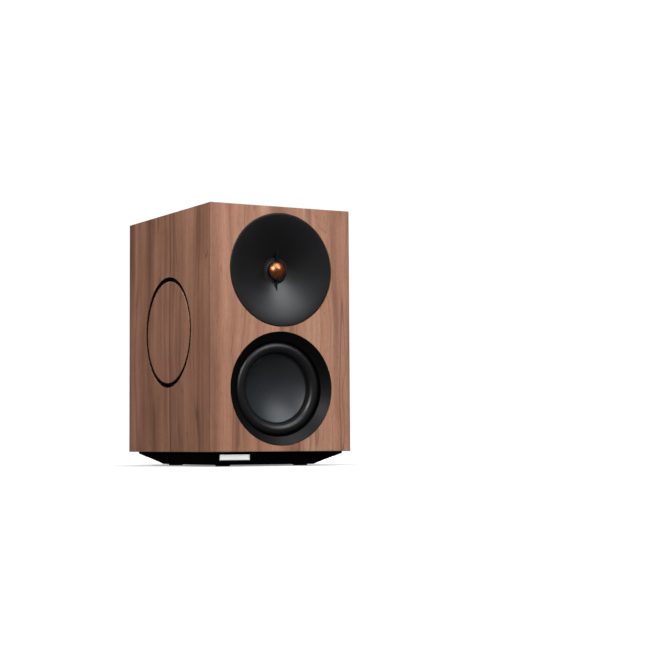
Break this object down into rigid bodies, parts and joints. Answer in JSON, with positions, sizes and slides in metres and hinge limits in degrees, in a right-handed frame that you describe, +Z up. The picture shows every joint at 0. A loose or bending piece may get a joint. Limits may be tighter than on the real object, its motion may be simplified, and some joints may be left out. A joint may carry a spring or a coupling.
{
  "type": "bookshelf speaker",
  "caption": "Walnut-veneered bookshelf loudspeaker with a wide waveguide tweeter, a dished woofer, slotted side discs and a tapered black base.",
  "frame": {"origin": "on the ground at the middle of the cabinet's footprint", "axes": "+Z up, -Y out of the front baffle, +X to the right seen from the front"},
  "size_m": [0.192, 0.25, 0.3176],
  "materials": {
    "walnut": "satin lacquered walnut veneer",
    "horn_black": "satin moulded",
    "guard_black": "satin moulded",
    "copper_mesh": "copper-coloured perforated metal",
    "throat_black": "satin moulded",
    "dome_metal": "anodised",
    "coil": "enamelled winding",
    "rubber": "smooth butyl",
    "cone_black": "satin coated cone",
    "trim_black": "satin moulded",
    "basket_black": "powder coat",
    "spider_cloth": "impregnated cloth",
    "ferrite": "sintered",
    "plated_steel": "zinc plated",
    "black_screw": "black oxide",
    "raw_board": "fibreboard",
    "rear_black": "fibreboard, black textured lacquer",
    "wadding": "polyester wadding",
    "base_black": "satin",
    "foot_rubber": "soft pad",
    "badge_bright": "satin, plain",
    "cup_black": "fine textured",
    "gilt": "gold plated",
    "red_nut": "red cap over brass",
    "black_nut": "black cap over brass",
    "circuit_board": "solder mask",
    "spacer_nylon": "nylon",
    "film_can": "wrapped film",
    "resistor_body": "cement",
    "lead_jacket": "PVC"
  },
  "bodies": {
    "cabinet": {"front_baffle": "walnut", "left_side_panel": "walnut", "right_side_panel": "walnut", "top_panel": "walnut", "bottom_panel": "walnut", "rear_panel": "rear_black", "internal_brace": "raw_board", "rear_wadding": "wadding", "tweeter_waveguide": "horn_black", "tweeter_bridge": "guard_black", "tweeter_grille": "copper_mesh", "tweeter_throat_ring": "throat_black", "tweeter_surround": "rubber", "tweeter_top_plate": "plated_steel", "tweeter_magnet": "ferrite", "tweeter_yoke": "plated_steel", "tweeter_rear_cap": "trim_black", "woofer_trim_ring": "trim_black", "woofer_basket": "basket_black", "woofer_surround": "rubber", "woofer_spider": "spider_cloth", "woofer_top_plate": "plated_steel", "woofer_magnet": "ferrite", "woofer_yoke": "plated_steel", "base_plinth": "base_black", "rubber_feet": "foot_rubber", "badge_plate": "badge_bright", "base_screws": "black_screw", "terminal_cup": "cup_black", "terminal_screws": "black_screw", "red_terminal_post": "gilt", "black_terminal_post": "gilt", "crossover_board": "circuit_board", "board_spacers": "spacer_nylon", "woofer_inductor": "coil", "tweeter_inductor": "coil", "tweeter_capacitor": "film_can", "tweeter_resistor": "resistor_body", "internal_leads": "lead_jacket", "driver_screws": "black_screw", "left_cover_disc": "walnut", "left_disc_carrier": "trim_black", "left_radiator_frame": "basket_black", "left_radiator_surround": "rubber", "right_cover_disc": "walnut", "right_disc_carrier": "trim_black", "right_radiator_frame": "basket_black", "right_radiator_surround": "rubber"},
    "tweeter_diaphragm": {"tweeter_dome": "dome_metal", "tweeter_voice_coil": "coil"},
    "woofer_diaphragm": {"woofer_cone": "cone_black", "woofer_voice_coil": "coil"},
    "left_radiator": {"left_radiator_cone": "cone_black", "left_radiator_weight": "plated_steel"},
    "right_radiator": {"right_radiator_cone": "cone_black", "right_radiator_weight": "plated_steel"},
    "red_washer": {"red_clamp_washer": "gilt"},
    "red_nut": {"red_terminal_nut": "red_nut"},
    "black_washer": {"black_clamp_washer": "gilt"},
    "black_nut": {"black_terminal_nut": "black_nut"}
  },
  "joints": [
    {"name": "tweeter_travel", "type": "slide", "parent": "cabinet", "child": "tweeter_diaphragm", "axis": [0, 1, 0], "range_m": [-0.0004, 0.0004], "stiffness_N_per_m": 60, "deforming": ["tweeter_surround"]},
    {"name": "woofer_travel", "type": "slide", "parent": "cabinet", "child": "woofer_diaphragm", "axis": [0, 1, 0], "range_m": [-0.004, 0.004], "stiffness_N_per_m": 1100, "deforming": ["woofer_surround", "woofer_spider"]},
    {"name": "left_radiator_travel", "type": "slide", "parent": "cabinet", "child": "left_radiator", "axis": [1, 0, 0], "range_m": [-0.005, 0.005], "stiffness_N_per_m": 900, "deforming": ["left_radiator_surround"]},
    {"name": "right_radiator_travel", "type": "slide", "parent": "cabinet", "child": "right_radiator", "axis": [-1, 0, 0], "range_m": [-0.005, 0.005], "stiffness_N_per_m": 900, "deforming": ["right_radiator_surround"]},
    {"name": "red_nut_turn", "type": "hinge", "parent": "red_washer", "child": "red_nut", "pos_m": [0.0095, 0.1047, 0.1016], "axis": [0, 1, 0], "range_deg": [0, 1440]},
    {"name": "red_nut_advance", "type": "slide", "parent": "cabinet", "child": "red_washer", "axis": [0, 1, 0], "range_m": [0, 0.004]},
    {"name": "black_nut_turn", "type": "hinge", "parent": "black_washer", "child": "black_nut", "pos_m": [-0.0095, 0.1047, 0.1016], "axis": [0, 1, 0], "range_deg": [0, 1440]},
    {"name": "black_nut_advance", "type": "slide", "parent": "cabinet", "child": "black_washer", "axis": [0, 1, 0], "range_m": [0, 0.004]}
  ],
  "couplings": [
    {"joint": "red_nut_turn", "follows": "red_nut_advance", "rad_per_m": 6283.2},
    {"joint": "black_nut_turn", "follows": "black_nut_advance", "rad_per_m": 6283.2}
  ]
}
